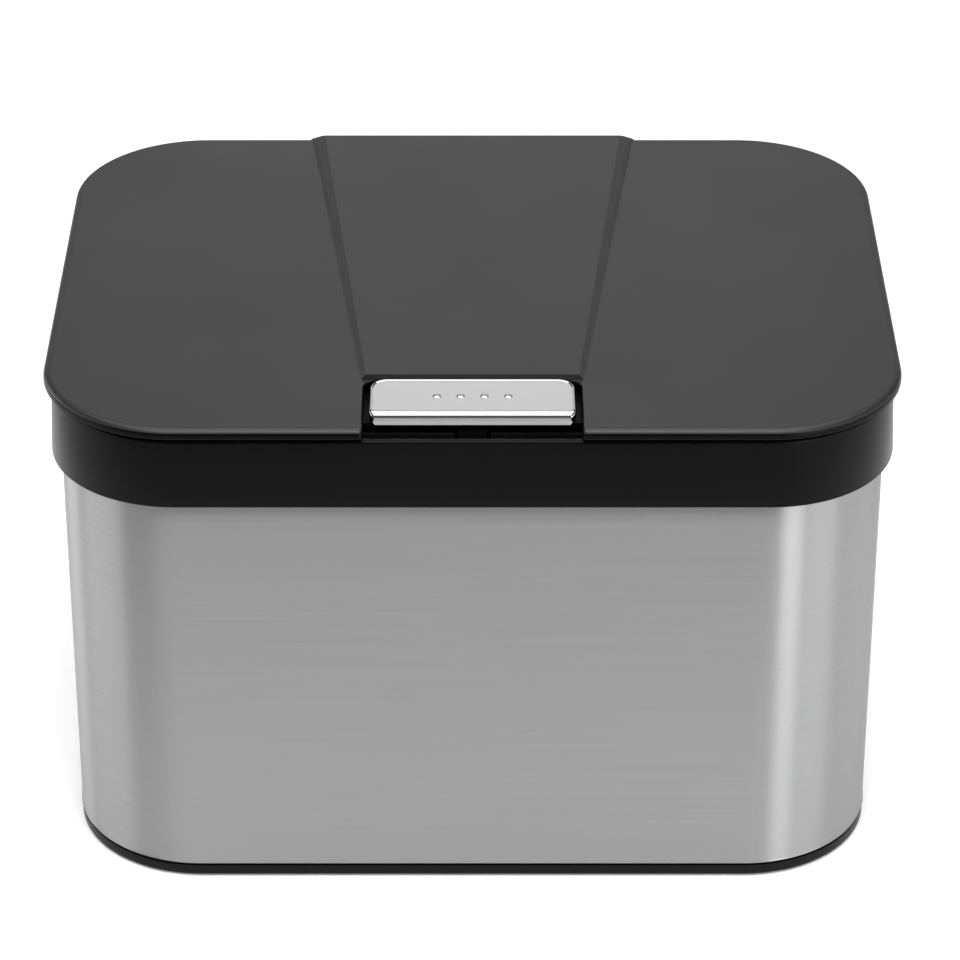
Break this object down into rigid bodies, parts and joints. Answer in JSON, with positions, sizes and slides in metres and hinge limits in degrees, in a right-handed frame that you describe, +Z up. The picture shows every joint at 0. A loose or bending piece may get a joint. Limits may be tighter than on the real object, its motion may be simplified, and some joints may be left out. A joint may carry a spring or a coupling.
{
  "type": "push-button waste bin",
  "caption": "Compact rounded rectangular waste bin: brushed steel sleeve, black collar and base, rear-hinged lid with a push-button latch, lift-out inner bucket.",
  "frame": {"origin": "on the floor, under the middle of the lid's outline", "axes": "+X to the right along the width, +Y to the back where the hinge is, +Z up; the push button faces -Y"},
  "size_m": [0.3, 0.23, 0.1909],
  "materials": {
    "black_plastic": "satin black, faint sheen",
    "lid_plastic": "fine satin, charcoal black",
    "liner_plastic": "matte black",
    "latch_plastic": "matte black",
    "bucket_plastic": "matte dark grey",
    "brushed_steel": "fine horizontal brushing",
    "polished_metal": "satin top, polished edges",
    "spring_steel": "bright zinc",
    "rubber": "matte black"
  },
  "bodies": {
    "body": {"base_pan": "black_plastic", "foot_front_left": "rubber", "foot_front_right": "rubber", "foot_rear_left": "rubber", "foot_rear_right": "rubber", "body_sleeve": "brushed_steel", "collar": "black_plastic", "lid_bumper_left": "rubber", "lid_bumper_right": "rubber", "hinge_pin_left": "spring_steel", "hinge_pin_right": "spring_steel", "lid_spring_left": "spring_steel", "lid_spring_right": "spring_steel", "inner_bucket": "bucket_plastic"},
    "lid": {"lid_shell": "lid_plastic", "lid_liner": "liner_plastic", "liner_screw_1": "spring_steel", "liner_screw_2": "spring_steel", "liner_screw_3": "spring_steel", "liner_screw_4": "spring_steel", "liner_screw_5": "spring_steel", "liner_screw_6": "spring_steel", "button_spring_left": "spring_steel", "button_spring_right": "spring_steel", "latch_pin": "spring_steel", "latch_spring": "spring_steel"},
    "button": {"button_cap": "polished_metal", "button_carrier": "latch_plastic"},
    "latch": {"latch_lever": "latch_plastic"}
  },
  "joints": [
    {"name": "lid_hinge", "type": "hinge", "parent": "body", "child": "lid", "pos_m": [0, 0.1065, 0.1795], "axis": [-1, 0, 0], "range_deg": [0, 80], "deforming": ["lid_spring_left", "lid_spring_right"]},
    {"name": "button_press", "type": "slide", "parent": "lid", "child": "button", "axis": [0, 0, -1], "range_m": [0, 0.0025], "stiffness_N_per_m": 400, "springref_m": -0.004, "deforming": ["button_spring_left", "button_spring_right"]},
    {"name": "latch_pivot", "type": "hinge", "parent": "lid", "child": "latch", "pos_m": [0, -0.0935, 0.1815], "axis": [1, 0, 0], "range_deg": [0, 20.1], "deforming": ["latch_spring"]}
  ],
  "couplings": [
    {"joint": "latch_pivot", "follows": "button_press", "rad_per_m": 140}
  ]
}
